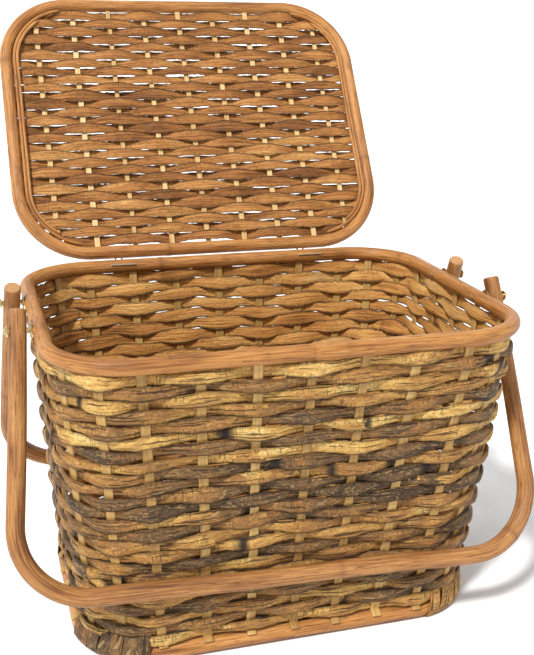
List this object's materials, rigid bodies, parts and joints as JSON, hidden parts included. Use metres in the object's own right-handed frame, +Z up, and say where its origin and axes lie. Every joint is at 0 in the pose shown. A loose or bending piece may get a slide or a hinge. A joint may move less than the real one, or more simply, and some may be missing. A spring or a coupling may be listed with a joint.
{
  "type": "sewing basket",
  "caption": "Woven rattan sewing basket with a tapered rectangular body, a hinged woven lid and two swinging bent-pole handles.",
  "frame": {"origin": "on the ground under the middle of the foot", "axes": "+Z up, front at -Y, +X to the right seen from the front"},
  "size_m": [0.4696, 0.5135, 0.5393],
  "materials": {
    "honey_pole": "satin lacquered bent rattan pole",
    "handle_pole": "satin lacquered bent rattan pole",
    "bark_strip": "half-round split rattan with its bark on",
    "peeled_strip": "flat peeled rattan strip",
    "stake_cane": "flat split cane",
    "binding_bark": "wound bark strip",
    "hinge_wire": "dull brassed wire",
    "pivot_brass": "domed brass, slightly dull"
  },
  "bodies": {
    "basket": {"rim_pole": "honey_pole", "base_pole": "honey_pole", "front_stakes": "stake_cane", "back_stakes": "stake_cane", "left_stakes": "stake_cane", "right_stakes": "stake_cane", "corner_stakes": "stake_cane", "side_weaver_01": "bark_strip", "side_weaver_02": "bark_strip", "side_weaver_03": "bark_strip", "side_weaver_04": "bark_strip", "side_weaver_05": "bark_strip", "side_weaver_06": "bark_strip", "side_weaver_07": "bark_strip", "side_weaver_08": "bark_strip", "side_weaver_09": "bark_strip", "side_weaver_10": "bark_strip", "side_weaver_11": "bark_strip", "side_weaver_12": "bark_strip", "side_weaver_13": "bark_strip", "side_weaver_14": "bark_strip", "side_weaver_15": "bark_strip", "side_weaver_16": "bark_strip", "side_weaver_17": "bark_strip", "side_weaver_18": "bark_strip", "side_weaver_19": "bark_strip", "side_weaver_20": "bark_strip", "side_weaver_21": "bark_strip", "side_weaver_22": "bark_strip", "side_weaver_23": "bark_strip", "side_weaver_24": "bark_strip", "bottom_stakes": "stake_cane", "bottom_weavers": "peeled_strip", "binding_front_left": "binding_bark", "binding_front_right": "binding_bark", "binding_back_left": "binding_bark", "binding_back_right": "binding_bark", "hinge_rim_pins": "hinge_wire", "pivot_pins": "pivot_brass", "pivot_washers": "pivot_brass"},
    "lid": {"lid_pole": "honey_pole", "lid_stakes": "stake_cane", "lid_weavers": "peeled_strip", "lid_trim": "honey_pole", "hinge_lid_pins": "hinge_wire"},
    "front_handle": {"front_handle": "handle_pole"},
    "back_handle": {"back_handle": "handle_pole"}
  },
  "joints": [
    {"name": "lid_hinge", "type": "hinge", "parent": "basket", "child": "lid", "pos_m": [0, 0.16505, 0.279], "axis": [1, 0, 0], "range_deg": [0, 123]},
    {"name": "front_handle_pivot", "type": "hinge", "parent": "basket", "child": "front_handle", "pos_m": [0, -0.043, 0.28], "axis": [-1, 0, 0], "range_deg": [0, 163]},
    {"name": "back_handle_pivot", "type": "hinge", "parent": "basket", "child": "back_handle", "pos_m": [0, 0.043, 0.28], "axis": [1, 0, 0], "range_deg": [0, 82]}
  ]
}
